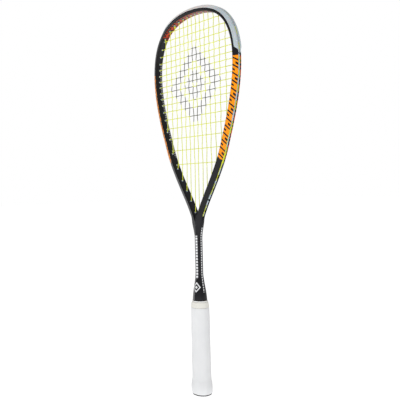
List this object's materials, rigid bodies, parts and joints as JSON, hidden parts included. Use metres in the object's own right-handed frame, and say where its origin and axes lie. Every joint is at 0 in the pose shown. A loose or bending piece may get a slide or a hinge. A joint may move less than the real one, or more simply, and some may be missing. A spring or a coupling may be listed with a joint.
{
  "type": "squash racket",
  "caption": "Full-length squash racket with a teardrop carbon frame, woven string bed, grommets, bumper guard, flared shaft and padded octagonal handle",
  "frame": {"origin": "middle of the butt's flat end", "axes": "+Z from the butt to the head, the string plane is XZ, the front of the strings faces -Y"},
  "size_m": [0.2147, 0.0352, 0.6858],
  "materials": {
    "frame_lacquer": "gloss lacquer over carbon fibre",
    "bumper_nylon": "satin",
    "grommet_nylon": "satin",
    "string": "glossy multifilament",
    "pallet_foam": "moulded foam",
    "cap_plastic": "satin",
    "grip_film": "soft polyurethane",
    "collar_rubber": "matt",
    "tape": "smooth tape"
  },
  "bodies": {
    "root": {"frame": "frame_lacquer", "bumper_guard": "bumper_nylon", "grommet_strip_left": "grommet_nylon", "grommet_strip_right": "grommet_nylon", "throat_grommet_1": "grommet_nylon", "throat_grommet_2": "grommet_nylon", "throat_grommet_3": "grommet_nylon", "throat_grommet_4": "grommet_nylon", "throat_grommet_5": "grommet_nylon", "throat_grommet_6": "grommet_nylon", "throat_grommet_7": "grommet_nylon", "throat_grommet_8": "grommet_nylon", "throat_grommet_9": "grommet_nylon", "throat_grommet_10": "grommet_nylon", "main_string": "string", "cross_string": "string", "handle_pallet": "pallet_foam", "butt_cap": "cap_plastic", "grip": "grip_film", "grip_collar": "collar_rubber", "finishing_tape": "tape"}
  },
  "joints": []
}
